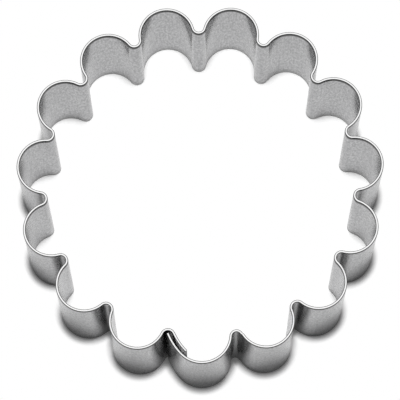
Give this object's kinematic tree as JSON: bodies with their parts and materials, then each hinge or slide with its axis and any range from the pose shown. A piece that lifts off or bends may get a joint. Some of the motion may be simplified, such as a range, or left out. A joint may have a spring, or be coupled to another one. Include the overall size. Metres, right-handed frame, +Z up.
{
  "type": "biscuit cutter",
  "caption": "Round biscuit cutter, a plain-edged ring of scalloped sheet steel, lapped and spot-welded at its joint, pressed through rolled dough.",
  "frame": {"origin": "on the axis of the ring, at the level of the edge that it rests on", "axes": "+Z up along the axis of the ring, -Y towards the lapped joint at the front"},
  "size_m": [0.0696, 0.0697, 0.025],
  "materials": {
    "sheet_steel": "fine satin grain along the strip, bright cut edges",
    "weld_metal": "dull fused metal"
  },
  "bodies": {
    "root": {"scalloped_band": "sheet_steel", "spot_welds": "weld_metal"}
  },
  "joints": []
}
